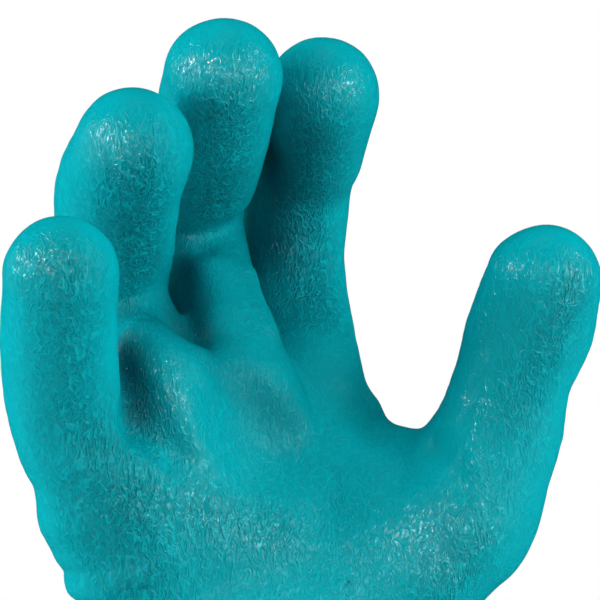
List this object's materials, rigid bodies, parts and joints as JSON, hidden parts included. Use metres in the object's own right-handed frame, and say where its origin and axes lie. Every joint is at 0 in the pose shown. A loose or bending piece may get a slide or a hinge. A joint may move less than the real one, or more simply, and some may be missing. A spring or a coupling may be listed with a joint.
{
  "type": "insulated pvc coated glove",
  "caption": "Right-hand gauntlet glove with a crinkled teal coating on a bonded fleece liner, half open, fingers up, cuff open at the bottom.",
  "frame": {"origin": "centre of the cuff opening, in the plane of the cuff's cut edge", "axes": "+Z from the cuff towards the fingertips, the palm faces -Y, the thumb lies to +X"},
  "size_m": [0.1505, 0.1194, 0.2949],
  "materials": {
    "coating": "semi-matte crinkled teal coating"
  },
  "bodies": {
    "root": {"glove_shell": "coating"}
  },
  "joints": []
}
